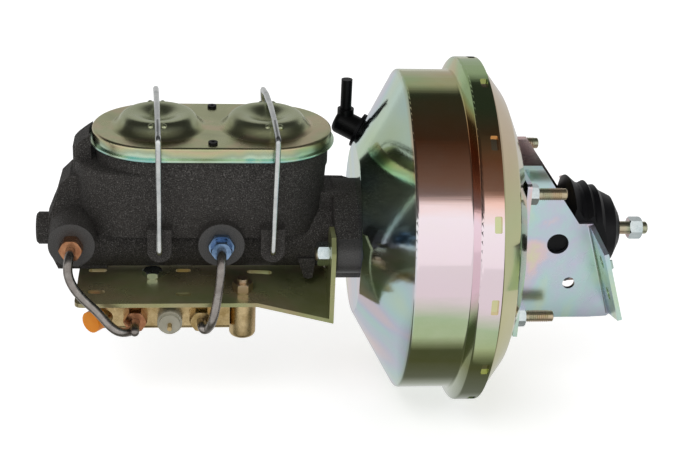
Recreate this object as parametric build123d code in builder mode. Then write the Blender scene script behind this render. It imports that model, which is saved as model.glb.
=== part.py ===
"""Vacuum brake booster with its tandem master cylinder, combination valve and firewall brackets.

+X runs along the booster axis towards the firewall, +Z is up and -Y is the side of the outlet
ports. The origin lies on the booster axis, on the rear shell's face that the brackets seat on.
All sizes are in millimetres.
"""
import os
from math import atan2, cos, degrees, radians, sin, sqrt, tan

from build123d import *

# General clearances and fasteners
seat_gap = 0.05        # radial gap of a stud or a threaded shank in its hole
run_gap = 0.06         # radial gap of a running fit
free_gap = 0.3         # gap between pieces of different bodies
bolt_gap = 0.4         # radial gap of a bolt in a clearance hole

# Booster shells
sheet = 2.0            # wall of both pressed shells
drum_radius = 114.5
drum_front = -81.0
drum_rear = -44.6
nose_face = -111.0     # front face that carries the master cylinder
nose_radius = 61.0
crimp_radius = 123.8
crimp_front = -40.0
crimp_rear = -25.5
rim_rear = -18.5
rim_radius = crimp_radius - 5.8
step_x = -10.0
step_radius = crimp_radius - 22.8
pad_radius = 75.0      # flat rear face, at X = 0
neck_radius = 25.3
neck_length = 30.0
tab_count = 14
tab_width = 12.0
tab_length = 6.0       # along the skirt
tab_press = 2.3        # how far the skirt is pressed in
skirt_rim_x = crimp_rear - tab_length - 4.0    # front edge of the rear shell, inside the skirt
pilot_radius = 18.0    # hole in the front shell for the master cylinder

# Rear studs and firewall brackets
rear_stud_y = 47.5
rear_stud_z = 47.5
rear_stud_radius = 3.97
rear_stud_end = 30.5
rear_nut_flats = 13.0
rear_nut_height = 6.8
bracket_sheet = 3.2
bend_radius = 1.6      # inside radius of the brackets' bends
web_y = 31.0           # outer face of each bracket's web
bracket_front_reach = 60.0
bracket_top = 59.2
bracket_bottom = -57.4
bracket_top_length = 17.0
bracket_slope = 17.0   # tilt of the firewall flange, in degrees
firewall_bend_x = 67.8
firewall_bend_z = -17.0
flange_reach = 70.0
flange_top = 17.2
flange_low = -53.1
flange_edge_inset = 10.0
access_hole_radius = 7.8
access_hole_x = 33.0
access_hole_z = 1.5
drain_hole_radius = 4.5
drain_hole_x = 44.1
drain_hole_z = -29.6
firewall_hole_radius = 4.5
firewall_hole_y = 53.0
firewall_hole_step = 26.0
bracket_lip = 6.0      # lip turned inwards along the top

# Pedal rod, jam nut and boot
rod_radius = 4.76
rod_thread_radius = 4.5    # behind the jam nut, where the clevis screws on
rod_end = 106.6
rod_ball_x = 27.0
rod_ball_radius = 6.0
jam_nut_x = 92.4
jam_nut_height = 9.4
jam_nut_flats = 14.3
boot_wall = 2.0
boot_end = 82.7
boot_lip_x = 45.0
boot_lip_radius = 39.0

# Power piston
hub_radius = 19.0
hub_front = -20.0
hub_rear = 56.0
hub_flange_radius = 32.0
hub_bore = 11.0
hub_waist_bore = 7.0
hub_waist_end = 12.0
plate_radius = step_radius - 3.0
plate_wall = 1.6
plate_x = -9.4
disc_radius = 14.0
disc_height = 5.0
output_rod_radius = 5.0
plunger_radius = 6.94
diaphragm_wall = 2.0
return_wire = 3.6
return_turns = 5
return_front_radius = 34.0
return_rear_radius = 25.5

# Front studs
front_stud_y = 43.0
front_stud_radius = 4.76
front_stud_end = -141.0
front_nut_flats = 14.3
front_nut_height = 8.7

# Master cylinder
flange_thickness = 17.0
flange_round = 36.0
ear_radius = 13.0
barrel_radius = 27.0
barrel_front = -318.0
bore_radius = 12.7
nose_tip = -326.0
plug_radius = 11.5
plug_height = 9.0
pilot_length = 10.0
reservoir_front = -308.0
reservoir_rear = -132.0
reservoir_width = 86.0
reservoir_shoulder = 58.0
reservoir_floor = 19.0
reservoir_wall = 5.0
outlet_z = 8.4
outlet_face = 47.0
outlet_boss_radius = 15.8
front_outlet_x = -307.4
rear_outlet_x = -206.0
pivot_z = 3.5
pivot_face = 46.5
pivot_boss_radius = 8.2
front_pivot_x = -248.1
rear_pivot_x = -170.8
web_top = 35.0         # web between the reservoir and the flange
lug_width = 26.0       # lug in front of the lid
lug_corner = 4.0
passage_radius = 2.0   # from each outlet to the bore

# Lid and bails
lid_x = -212.0
lid_length = 165.0
lid_width = 88.0
lid_top = 78.4
lid_skirt = 68.4
lid_wall = 1.5
lid_edge = 1.8
lip_width = 2.0        # rolled lip round the skirt
lip_height = 2.0
dome_offset = 37.2
dome_radius = 33.0
dome_rise = 9.4
dome_crest = 20.0      # radius of the dome's highest ring
dome_dish = 4.6        # height of the middle of the dish inside that ring
bump_radius = 2.3
gasket_height = 2.0
bellows_radii = (24.0, 12.0)    # rings below the gasket, under each dome
bellows_wall = 3.0
bellows_depth = 6.0
vent_radius = 3.2
vent_y = 35.2
bail_wire = 2.0
bail_arm_y = 50.6
bail_corner_z = 87.0
bail_crown_z = 92.8
bail_crown_drop = 1.6
bail_shoulder_y = 28.0
front_bail_near = 0.0  # the crowns slant: X of each bail's corners from its pivots
front_bail_far = -4.0
rear_bail_near = 1.8
rear_bail_far = -4.4
bail_end_y = 39.5      # inner end of the wire, in the pivot hole

# Pistons of the master cylinder
primary_length = 66.0
primary_rear = -113.0
secondary_length = 46.0
secondary_rear = -222.0
piston_neck = 9.6
cup_height = 5.0

# Combination valve and its bracket
tray_sheet = 3.0
tray_top = -29.5
tray_front = 60.0
tray_back = 5.0
tray_left = -306.0
tray_right = -181.2
ramp_drop = 13.5
valve_left = -290.0
valve_right = -200.0
valve_front = 50.0
valve_back = 28.0
valve_height = 22.5
post_x = -190.8
post_y = -40.0
post_radius = 9.3
post_end = -64.0
spool_radius = 3.6
spool_length = 62.0
spool_grooves = (8.0, 24.0, 40.0, 52.0)
spool_groove_width = 5.0
spool_groove_depth = 1.4
spool_z = -49.8
valve_port_z = -44.0
wheel_port_z = -40.0
switch_x = -241.4
front_port_x = switch_x - 23.6
rear_port_x = switch_x + 21.8
wheel_port_shift = 4.0     # keeps the front wheel port clear of the lug
switch_z = -45.0
switch_radius = 8.6
lug_bolt_x = switch_x - 12.6
lug_bolt_y = -16.5
valve_stud_radius = 3.97
valve_nut_flats = 12.7
valve_nut_height = 6.6
bolt_head_height = 4.2
cap_angle = 40.0

# Brake pipes
pipe_radius = 3.17
tube_nut_flats = 14.3
small_nut_flats = 12.7
adapter_flats = 16.5
adapter_height = 4.0
tube_nut_height = 9.0
tube_shank_radius = 5.9
tube_shank_depth = 8.0

# Vacuum check valve
check_angle = 45.0     # from straight up towards the far side
check_radius = 76.0    # distance of its hole from the booster axis
check_body_radius = 9.2
check_neck_radius = 6.5
grommet_radius = 13.0
nozzle_radius = 4.1
nozzle_top = 92.6

os.makedirs("parts", exist_ok=True)


def write(piece, name, colour):
    """Labels a finished piece and writes its STEP file."""
    piece.label = name
    piece.color = Color(*colour)
    export_step(piece, f"parts/{name}.step")


zinc_yellow = (0.75, 0.68, 0.45)
zinc_white = (0.82, 0.84, 0.86)
cast_black = (0.12, 0.12, 0.12)
steel = (0.6, 0.6, 0.62)
rubber = (0.05, 0.05, 0.05)
brass = (0.78, 0.62, 0.3)
copper = (0.72, 0.42, 0.25)
nylon_white = (0.85, 0.85, 0.8)


def at_x(x, y=0.0, z=0.0):
    """A plane square to the booster axis, with its normal along +X."""
    return Plane(origin=(x, y, z), x_dir=(0, 1, 0), z_dir=(1, 0, 0))


def at_y(x, y, z):
    """A plane that faces the port side, with its normal along -Y."""
    return Plane(origin=(x, y, z), x_dir=(1, 0, 0), z_dir=(0, -1, 0))


def turned(points, wall=0.0):
    """A body of revolution about the X axis from (x, radius) points, solid or a wall of sheet."""
    with BuildPart() as made:
        with BuildSketch(Plane.XZ):
            with BuildLine():
                Polyline(*points, close=(wall == 0))
                if wall:
                    offset(amount=wall, side=Side.RIGHT)
            make_face()
        revolve(axis=Axis.X)
    return made.part


def hex_nut(plane, flats, height, hole=0.0):
    """A hexagon nut or bolt head that stands on a plane, with its corners turned down."""
    with BuildPart() as blank:
        with BuildSketch(plane):
            Circle(flats / sqrt(3))
        extrude(amount=height)
        chamfer(blank.edges().filter_by(GeomType.CIRCLE), flats * 0.06)
        if hole:
            with BuildSketch(plane):
                Circle(hole)
            extrude(amount=height, mode=Mode.SUBTRACT)
    with BuildPart() as made:
        with BuildSketch(plane):
            RegularPolygon(radius=flats / 2, side_count=6, major_radius=False)
        extrude(amount=height)
        add(blank.part, mode=Mode.INTERSECT)
    return made.part


# Front shell, with the crimped skirt and its lanced tabs
front_profile = [
    (nose_face, pilot_radius),
    (nose_face, nose_radius),
    (drum_front, drum_radius),
    (drum_rear, drum_radius),
    (crimp_front, crimp_radius),
    (crimp_rear, crimp_radius),
]
cone_angle = degrees(atan2(drum_radius - nose_radius, drum_front - nose_face))
check_x = nose_face + (check_radius - nose_radius) / tan(radians(cone_angle))
check_normal = Vector(
    -sin(radians(cone_angle)),
    cos(radians(cone_angle)) * sin(radians(check_angle)),
    cos(radians(cone_angle)) * cos(radians(check_angle)),
)
check_origin = Vector(
    check_x,
    check_radius * sin(radians(check_angle)),
    check_radius * cos(radians(check_angle)),
)
check_plane = Plane(origin=check_origin, x_dir=(0, cos(radians(check_angle)), -sin(radians(check_angle))),
                    z_dir=check_normal)

with BuildPart() as front_shell:
    with BuildSketch(Plane.XZ):
        with BuildLine():
            FilletPolyline(*front_profile, radius=(4, 2.2, 2.2, 2.2))
            offset(amount=sheet, side=Side.RIGHT)
        make_face()
    revolve(axis=Axis.X)
    with BuildSketch(at_x(nose_face - 1)):
        with Locations((-front_stud_y, 0), (front_stud_y, 0)):
            Circle(front_stud_radius + seat_gap)
    extrude(amount=sheet + 3, mode=Mode.SUBTRACT)
    with BuildSketch(check_plane.offset(-3 * sheet)):
        Circle(check_neck_radius + 2.0)
    extrude(amount=5 * sheet, mode=Mode.SUBTRACT)
    for index in range(tab_count):
        tab_plane = Plane.XY.rotated((360 / tab_count * (index + 0.5), 0, 0))
        with BuildSketch(tab_plane.offset(crimp_radius - sheet - tab_press)):
            with Locations((crimp_rear - 1 - tab_length / 2, 0)):
                Rectangle(tab_length, tab_width)
        extrude(amount=tab_press + sheet / 2)
        with BuildSketch(tab_plane.offset(crimp_radius - sheet - tab_press + 0.8 * sheet)):
            with Locations((crimp_rear - 1 - tab_length / 2, 0)):
                RectangleRounded(tab_length - 1, tab_width - 1, 1)
        extrude(amount=2 * sheet, mode=Mode.SUBTRACT)
write(front_shell.part, "front_shell", zinc_yellow)

# Rear shell, with the neck that guides the power piston
tab_root = crimp_radius - sheet - tab_press
rear_profile = [
    (skirt_rim_x, crimp_radius - sheet - seat_gap),
    (crimp_rear - tab_length - 2, crimp_radius - sheet - seat_gap),
    (crimp_rear - tab_length - 1, tab_root - free_gap),
    (rim_rear, rim_radius),
    (step_x, step_radius),
    (0, pad_radius),
    (0, neck_radius),
    (neck_length, neck_radius),
]
with BuildPart() as rear_shell:
    with BuildSketch(Plane.XZ):
        with BuildLine():
            FilletPolyline(*rear_profile, radius=(0.4, 0.4, 2.2, 2.2, 2.2, 2.5))
            offset(amount=sheet, side=Side.RIGHT)
        make_face()
    revolve(axis=Axis.X)
    with BuildSketch(at_x(-2 * sheet)):
        with GridLocations(2 * rear_stud_y, 2 * rear_stud_z, 2, 2):
            Circle(rear_stud_radius + seat_gap)
    extrude(amount=3 * sheet, mode=Mode.SUBTRACT)
write(rear_shell.part, "rear_shell", zinc_yellow)

# Neck seal, bearing and dust boot
neck_bore = neck_radius - sheet
hub_run_radius = hub_radius + run_gap
ring_length = 8.0
for name, start, colour in (("neck_seal", 3.0, rubber),
                            ("neck_bearing", neck_length - ring_length, nylon_white)):
    with BuildPart() as ring:
        with BuildSketch(at_x(start)):
            Circle(neck_bore)
            Circle(hub_run_radius, mode=Mode.SUBTRACT)
        extrude(amount=ring_length)
        chamfer(ring.edges().filter_by(GeomType.CIRCLE).filter_by(lambda e: e.radius < neck_bore - 1), 0.6)
    write(ring.part, name, colour)

boot_start = neck_length - 13
boot_sleeve = neck_radius + boot_wall
boot_profile = [
    (boot_start, 0),
    (boot_start, boot_sleeve),
    (boot_lip_x - 4, boot_sleeve),
    (boot_lip_x, boot_lip_radius),
    (boot_lip_x + 6, boot_lip_radius - 5),
    (boot_lip_x + 9, boot_lip_radius - 6),
    (boot_lip_x + 13, boot_lip_radius - 4),
    (boot_lip_x + 16, boot_lip_radius - 7.5),
    (boot_lip_x + 20, boot_lip_radius - 7),
    (boot_lip_x + 23, boot_lip_radius - 10.5),
    (boot_lip_x + 32, boot_lip_radius - 15),
    (boot_end - 2.7, boot_lip_radius - 20.5),
    (boot_end, boot_lip_radius - 25.5),
    (boot_end, 0),
]
boot_squeeze = web_y - bracket_sheet - free_gap


def boot_body(inset):
    """The boot's outer form squeezed between the bracket webs, or its inside when inset by the wall."""
    with BuildPart() as made:
        with BuildSketch(Plane.XZ):
            with BuildLine():
                Polyline(*boot_profile, close=True)
            make_face()
            if inset:
                offset(amount=-inset, kind=Kind.INTERSECTION)
        revolve(axis=Axis.X)
        with BuildSketch(Plane.XY):
            Rectangle(4 * boot_end, 2 * (boot_squeeze - inset))
        extrude(amount=2 * boot_lip_radius, both=True, mode=Mode.INTERSECT)
    return made.part


with BuildPart() as dust_boot:
    add(boot_body(0))
    add(boot_body(boot_wall), mode=Mode.SUBTRACT)
    with BuildSketch(at_x(boot_start)):
        Circle(neck_radius + seat_gap)
    extrude(amount=neck_length - boot_start + 2, mode=Mode.SUBTRACT)
    with BuildSketch(at_x(boot_start)):
        Circle(rod_radius + 0.2)
    extrude(amount=boot_end, mode=Mode.SUBTRACT)
write(dust_boot.part, "dust_boot", rubber)

# Rear studs and their nuts
stud_head = 2.8
with BuildPart() as rear_studs:
    with BuildSketch(at_x(-sheet)):
        with GridLocations(2 * rear_stud_y, 2 * rear_stud_z, 2, 2):
            Circle(rear_stud_radius)
    extrude(amount=rear_stud_end + sheet)
    chamfer(rear_studs.faces().sort_by(Axis.X)[-4:].edges(), 0.7)
    with BuildSketch(at_x(-sheet)):
        with GridLocations(2 * rear_stud_y, 2 * rear_stud_z, 2, 2):
            Circle(rear_stud_radius + 3)
    extrude(amount=-stud_head)
write(rear_studs.part, "rear_studs", zinc_yellow)

rear_nut_list = [
    hex_nut(at_x(bracket_sheet, side_y * rear_stud_y, side_z * rear_stud_z), rear_nut_flats,
            rear_nut_height, rear_stud_radius + seat_gap)
    for side_y in (-1, 1)
    for side_z in (-1, 1)
]
write(Compound(children=rear_nut_list), "rear_stud_nuts", zinc_white)

# Firewall brackets: the one on the port side, and its mirror image
slope = radians(bracket_slope)
flange_up = Vector(-sin(slope), 0, cos(slope))
firewall_plane = Plane(origin=(firewall_bend_x, -web_y, firewall_bend_z), x_dir=(0, -1, 0),
                       z_dir=(-cos(slope), 0, -sin(slope)))


def bend_x(z):
    """X of the firewall flange's rear face at height z."""
    return firewall_bend_x - (z - firewall_bend_z) * tan(slope)


def slope_y(z):
    """Distance along the firewall flange from its middle to height z."""
    return (z - firewall_bend_z) / cos(slope)


with BuildPart() as near_bracket:
    # Web
    with BuildSketch(at_y(0, -web_y + bracket_sheet, 0)):
        with BuildLine():
            Polyline(
                (0, bracket_bottom),
                (0, bracket_top),
                (bracket_top_length, bracket_top),
                (bend_x(flange_top) - 10.5, flange_top),
                (bend_x(flange_top), flange_top),
                (bend_x(flange_low), flange_low),
                (bend_x(flange_low) - 4, bracket_bottom + 0.8),
                (bend_x(flange_low) - 18, bracket_bottom),
                close=True,
            )
        make_face()
        with Locations((access_hole_x, access_hole_z)):
            Circle(access_hole_radius, mode=Mode.SUBTRACT)
        with Locations((drain_hole_x, drain_hole_z)):
            Circle(drain_hole_radius, mode=Mode.SUBTRACT)
    extrude(amount=bracket_sheet)
    # Front flange on the booster
    with BuildSketch(Plane.YZ):
        with Locations((-(web_y + bracket_front_reach) / 2, (bracket_top + bracket_bottom) / 2)):
            Rectangle(bracket_front_reach - web_y, bracket_top - bracket_bottom)
        with Locations((-rear_stud_y, rear_stud_z), (-rear_stud_y, -rear_stud_z)):
            Circle(rear_stud_radius + bolt_gap, mode=Mode.SUBTRACT)
    extrude(amount=bracket_sheet)
    # Rear flange on the firewall
    with BuildSketch(firewall_plane):
        with BuildLine():
            Polyline(
                (-bracket_sheet, slope_y(flange_low)),
                (-bracket_sheet, slope_y(flange_top)),
                (0, slope_y(flange_top)),
                (flange_reach - web_y, slope_y(flange_top) - flange_edge_inset / 2),
                (flange_reach - web_y, slope_y(flange_low) + 1.5 * flange_edge_inset),
                (0, slope_y(flange_low)),
                close=True,
            )
        make_face()
        flange_middle = (slope_y(flange_top) + slope_y(flange_low) + flange_edge_inset) / 2
        with Locations((firewall_hole_y - web_y, flange_middle + firewall_hole_step / 2),
                       (firewall_hole_y - web_y, flange_middle - firewall_hole_step / 2)):
            Circle(firewall_hole_radius, mode=Mode.SUBTRACT)
    extrude(amount=bracket_sheet)
    # Bend radii
    web_inside = -web_y + bracket_sheet
    upright = near_bracket.edges().filter_by(Axis.Z)
    fillet(upright.sort_by_distance((0, web_inside, 0))[0], bracket_sheet + bend_radius)
    upright = near_bracket.edges().filter_by(Axis.Z)
    fillet(upright.sort_by_distance((bracket_sheet, -web_y, 0))[0], bend_radius)
    slanted = near_bracket.edges().filter_by(Axis((0, 0, 0), flange_up))
    bend_corner = firewall_plane.from_local_coords((0, 0, bracket_sheet))
    fillet(slanted.sort_by_distance(bend_corner)[0], bend_radius)
    # Pressed dart across the rear bend
    dart_plane = firewall_plane.offset(bracket_sheet)
    dart_edge = 11.0
    with BuildSketch(Plane(origin=dart_plane.from_local_coords((0, 4, 0)), x_dir=(0, -1, 0),
                           z_dir=(-flange_up))):
        with BuildLine():
            Polyline((0, 0), (dart_edge, 0), (0, -dart_edge), close=True)
        make_face()
    extrude(amount=7)
    # Lip turned inwards along the top
    with BuildSketch(Plane.XY.offset(bracket_top - bracket_sheet)):
        with Locations((bracket_top_length / 2 + 1, -web_y + bracket_lip / 2)):
            Rectangle(bracket_top_length - 2, bracket_lip)
    extrude(amount=bracket_sheet)
    lip_bend = near_bracket.edges().filter_by(Axis.X).group_by(Axis.Z)[-1].sort_by(Axis.Y)[0]
    fillet(lip_bend, bracket_sheet * 0.9)
write(near_bracket.part, "near_bracket", zinc_yellow)
write(mirror(near_bracket.part, about=Plane.XZ), "far_bracket", zinc_yellow)

# Power piston: diaphragm, plate, valve hub and what moves inside the hub
bead_front = skirt_rim_x - 3
plate_dish = 8.0
plate_slope = 27.0       # radial width of the dished part
plate_round = 1.5
with BuildPart() as diaphragm:
    with BuildSketch(Plane.XZ):
        with BuildLine():
            FilletPolyline(
                (skirt_rim_x - 2, tab_root - 5),
                (crimp_rear, tab_root - 7),
                (rim_rear - 2, plate_radius + 10),
                (plate_x - plate_dish * (1 + 5 / plate_slope), plate_radius + 5),
                (plate_x, plate_radius - plate_slope),
                (plate_x, hub_radius + seat_gap),
                radius=plate_round,
            )
            offset(amount=diaphragm_wall, side=Side.LEFT)
        make_face()
        with BuildLine():
            Polyline(
                (skirt_rim_x - seat_gap, tab_root - 5.5),
                (skirt_rim_x - seat_gap, crimp_radius - sheet - seat_gap),
                (bead_front + 2, crimp_radius - sheet - seat_gap),
                (bead_front, tab_root - 1),
                (bead_front, tab_root - 5.5),
                close=True,
            )
        make_face()
    revolve(axis=Axis.X)
write(diaphragm.part, "diaphragm", rubber)

hub_flange_front = plate_x - plate_wall - 4.0
plate_profile = [
    (plate_x - plate_dish - 3.5, plate_radius),
    (plate_x - plate_dish, plate_radius),
    (plate_x, plate_radius - plate_slope),
    (plate_x, hub_radius + seat_gap),
]
with BuildPart() as diaphragm_plate:
    with BuildSketch(Plane.XZ):
        with BuildLine():
            FilletPolyline(*plate_profile, radius=plate_round)
            offset(amount=plate_wall, side=Side.RIGHT)
        make_face()
    revolve(axis=Axis.X)
write(diaphragm_plate.part, "diaphragm_plate", zinc_white)

with BuildPart() as valve_hub:
    add(turned([
        (hub_front, 0),
        (hub_front, hub_radius),
        (hub_flange_front, hub_radius),
        (hub_flange_front, hub_flange_radius),
        (plate_x - plate_wall, hub_flange_radius),
        (plate_x - plate_wall, hub_radius),
        (hub_rear - 1, hub_radius),
        (hub_rear, hub_radius - 1),
        (hub_rear, 0),
    ]))
    with BuildSketch(at_x(hub_front)):
        Circle(disc_radius + seat_gap)
    extrude(amount=disc_height, mode=Mode.SUBTRACT)
    with BuildSketch(at_x(hub_front)):
        Circle(hub_waist_bore)
    extrude(amount=hub_rear, mode=Mode.SUBTRACT)
    with BuildSketch(at_x(hub_waist_end)):
        Circle(hub_bore)
    extrude(amount=hub_rear, mode=Mode.SUBTRACT)
write(valve_hub.part, "valve_hub", cast_black)

with BuildPart() as reaction_disc:
    with BuildSketch(at_x(hub_front)):
        Circle(disc_radius)
    extrude(amount=disc_height)
write(reaction_disc.part, "reaction_disc", rubber)

output_socket = primary_rear - 3.5
write(turned([
    (hub_front, 0),
    (hub_front, disc_radius),
    (hub_front - 4, disc_radius),
    (hub_front - 5, output_rod_radius + 2),
    (hub_front - 9, output_rod_radius),
    (output_socket + 2, output_rod_radius),
    (output_socket, output_rod_radius - 2),
    (output_socket, 0),
]), "output_rod", steel)

plunger_head = 9.5
plunger_end = rod_ball_x + 4
with BuildPart() as valve_plunger:
    add(turned([
        (hub_front + disc_height + 0.5, 0),
        (hub_front + disc_height + 0.5, plunger_radius - 1),
        (hub_front + disc_height + 1.5, plunger_radius),
        (hub_waist_end, plunger_radius),
        (hub_waist_end + 2.5, plunger_head),
        (plunger_end, plunger_head),
        (plunger_end, 0),
    ]))
    with Locations((rod_ball_x, 0, 0)):
        Sphere(rod_ball_radius + run_gap, mode=Mode.SUBTRACT)
write(valve_plunger.part, "valve_plunger", steel)

rod_neck = 3.4
with BuildPart() as pushrod:
    with Locations((rod_ball_x, 0, 0)):
        Sphere(rod_ball_radius)
    with BuildSketch(at_x(rod_ball_x)):
        Circle(rod_neck)
    extrude(amount=12)
    add(turned([
        (rod_ball_x + 9, 0),
        (rod_ball_x + 9, rod_neck),
        (rod_ball_x + 12, rod_radius),
        (jam_nut_x + jam_nut_height, rod_radius),
        (jam_nut_x + jam_nut_height, rod_thread_radius),
        (rod_end - 1, rod_thread_radius),
        (rod_end, rod_thread_radius - 1),
        (rod_end, 0),
    ]))
write(pushrod.part, "pushrod", zinc_yellow)

write(hex_nut(at_x(jam_nut_x), jam_nut_flats, jam_nut_height, rod_radius + seat_gap), "jam_nut", zinc_white)

with BuildPart() as air_filter:
    with BuildSketch(at_x(hub_rear - 10)):
        Circle(hub_bore - seat_gap)
        Circle(rod_radius + free_gap, mode=Mode.SUBTRACT)
    extrude(amount=8)
write(air_filter.part, "air_filter", rubber)


def coil(start, end, first_radius, last_radius, wire, turns):
    """A compression spring round the booster axis from X = start down to X = end."""
    travel = abs(start - end) - wire
    lean = degrees(atan2(last_radius - first_radius, travel))
    with BuildPart() as made:
        with BuildLine() as line:
            Helix(travel / turns, travel, first_radius, (start - wire / 2, 0, 0), (-1, 0, 0),
                  cone_angle=lean)
        with BuildSketch(Plane(origin=line.line @ 0, z_dir=line.line % 0)):
            Circle(wire / 2)
        sweep(is_frenet=True)
    return made.part


write(coil(hub_flange_front, nose_face + sheet, return_rear_radius, return_front_radius, return_wire,
           return_turns), "return_spring", steel)

# Seal between the master cylinder and the booster
with BuildPart() as pilot_seal:
    with BuildSketch(at_x(nose_face + sheet)):
        Circle(pilot_radius + 3)
        Circle(pilot_radius - 0.15, mode=Mode.SUBTRACT)
    extrude(amount=2.5)
write(pilot_seal.part, "pilot_seal", rubber)

# Front studs and nuts
with BuildPart() as front_studs:
    with BuildSketch(at_x(nose_face + sheet)):
        with Locations((-front_stud_y, 0), (front_stud_y, 0)):
            Circle(front_stud_radius)
    extrude(amount=front_stud_end - nose_face - sheet)
    chamfer(front_studs.faces().sort_by(Axis.X)[:2].edges(), 0.8)
    with BuildSketch(at_x(nose_face + sheet)):
        with Locations((-front_stud_y, 0), (front_stud_y, 0)):
            Circle(front_stud_radius + 3.2)
    extrude(amount=3)
write(front_studs.part, "front_studs", zinc_yellow)

flange_face = nose_face - flange_thickness
bracket_plate_front = flange_face - bracket_sheet
facing_front = dict(x_dir=(0, 1, 0), z_dir=(-1, 0, 0))
front_nut_list = [
    hex_nut(Plane(origin=(face, side * front_stud_y, 0), **facing_front), front_nut_flats, front_nut_height,
            front_stud_radius + seat_gap)
    for side, face in ((-1, bracket_plate_front), (1, flange_face))
]
write(Compound(children=front_nut_list), "front_stud_nuts", zinc_white)

# Master cylinder casting
body_x = (reservoir_front + reservoir_rear) / 2
body_length = reservoir_rear - reservoir_front
body_bottom = 10.0
bore_front = nose_tip + plug_height
reservoir_top = lid_top - lid_wall - gasket_height
rim_length = lid_length - 2 * lid_wall - 1
rim_width = lid_width - 2 * lid_wall - 1
crown_at_lug = bail_crown_z - bail_crown_drop * lug_width / 2 / bail_shoulder_y
bail_sweep = crown_at_lug - pivot_z - bail_wire - 2 * free_gap    # the lug stays inside this radius
chamber_length = lid_length - 2 * reservoir_wall - 2
chamber_width = reservoir_width - 4 * reservoir_wall
fluid_ports = (-146.0, -186.0, -238.0, -280.0)
pivots = [(x, side) for x in (front_pivot_x, rear_pivot_x) for side in (-1, 1)]


def lid_lug():
    """The lug that keeps the lid from sliding forward, rounded off just inside the bail's sweep."""
    front = reservoir_front + 0.6
    lip_room = 2 * (lip_width + seat_gap)
    with BuildPart() as made:
        with BuildSketch(Plane.XY.offset(reservoir_shoulder - 12)) as plan:
            with Locations(((front + lid_x) / 2, 0)):
                Rectangle(lid_x - front, lug_width)
            fillet(plan.vertices().group_by(Axis.X)[0], lug_corner)
            with Locations((lid_x, 0)):
                SlotOverall(lid_length + lip_room, lid_width + lip_room, mode=Mode.SUBTRACT)
        extrude(amount=lid_top)
        with BuildSketch(at_y(front_pivot_x, lug_width, pivot_z)):
            Circle(bail_sweep)
        extrude(amount=2 * lug_width, mode=Mode.INTERSECT)
    return made.part


def pivot_plane(x, side):
    """Face of the pivot boss at that X, on the side of that sign, looking outwards."""
    return Plane(origin=(x, side * pivot_face, pivot_z), x_dir=(1, 0, 0), z_dir=(0, -side, 0))


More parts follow.
